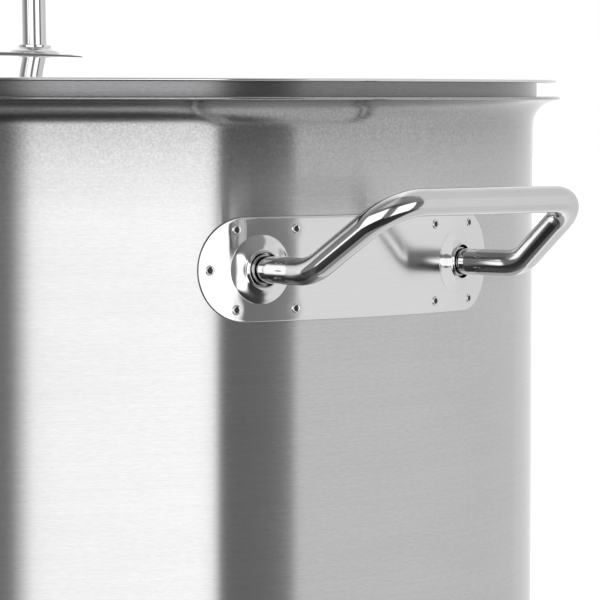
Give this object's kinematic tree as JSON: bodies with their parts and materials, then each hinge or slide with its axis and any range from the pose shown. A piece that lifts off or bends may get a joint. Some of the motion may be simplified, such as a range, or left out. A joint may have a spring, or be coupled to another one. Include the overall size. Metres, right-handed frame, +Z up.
{
  "type": "brew kettle",
  "caption": "Tall round stainless brew kettle with a flared lip, welded rod side handles on polished plates and a loose domed lid with its own rod handle.",
  "frame": {"origin": "centre of the base's underside, on the pot's axis", "axes": "+Z up along the pot's axis, +X through the right side handle, -X through the left one, the lid's handle runs along Y"},
  "size_m": [0.5792, 0.479, 0.5211],
  "materials": {
    "brushed_wall": "satin, brushed round the pot",
    "inner_floor": "satin",
    "core": "plain",
    "polished_lid": "mirror polished stainless steel",
    "brushed_band": "satin",
    "polished_plate": "mirror polished stainless steel",
    "polished_rod": "mirror polished stainless steel",
    "polished_boss": "mirror polished stainless steel",
    "weld_collars": "as welded",
    "weld_buttons": "dimpled"
  },
  "bodies": {
    "kettle": {"kettle_wall": "brushed_wall", "kettle_lip": "brushed_wall", "kettle_floor": "inner_floor", "base_core": "core", "base_cap": "brushed_wall", "right_handle_plate": "polished_plate", "right_handle_rod": "polished_rod", "right_front_boss": "polished_boss", "right_rear_boss": "polished_boss", "right_front_ferrule": "weld_collars", "right_rear_ferrule": "weld_collars", "right_spot_welds": "weld_buttons", "left_handle_plate": "polished_plate", "left_handle_rod": "polished_rod", "left_front_boss": "polished_boss", "left_rear_boss": "polished_boss", "left_front_ferrule": "weld_collars", "left_rear_ferrule": "weld_collars", "left_spot_welds": "weld_buttons"},
    "lid": {"lid_dome": "polished_lid", "lid_skirt": "brushed_band", "lid_handle_plate": "polished_plate", "lid_handle_rod": "polished_rod", "lid_front_boss": "polished_boss", "lid_rear_boss": "polished_boss", "lid_front_ferrule": "weld_collars", "lid_rear_ferrule": "weld_collars", "lid_spot_welds": "weld_buttons"}
  },
  "joints": [
    {"name": "lid_lift", "type": "slide", "parent": "kettle", "child": "lid", "axis": [0, 0, 1], "range_m": [0, 0.15]}
  ]
}
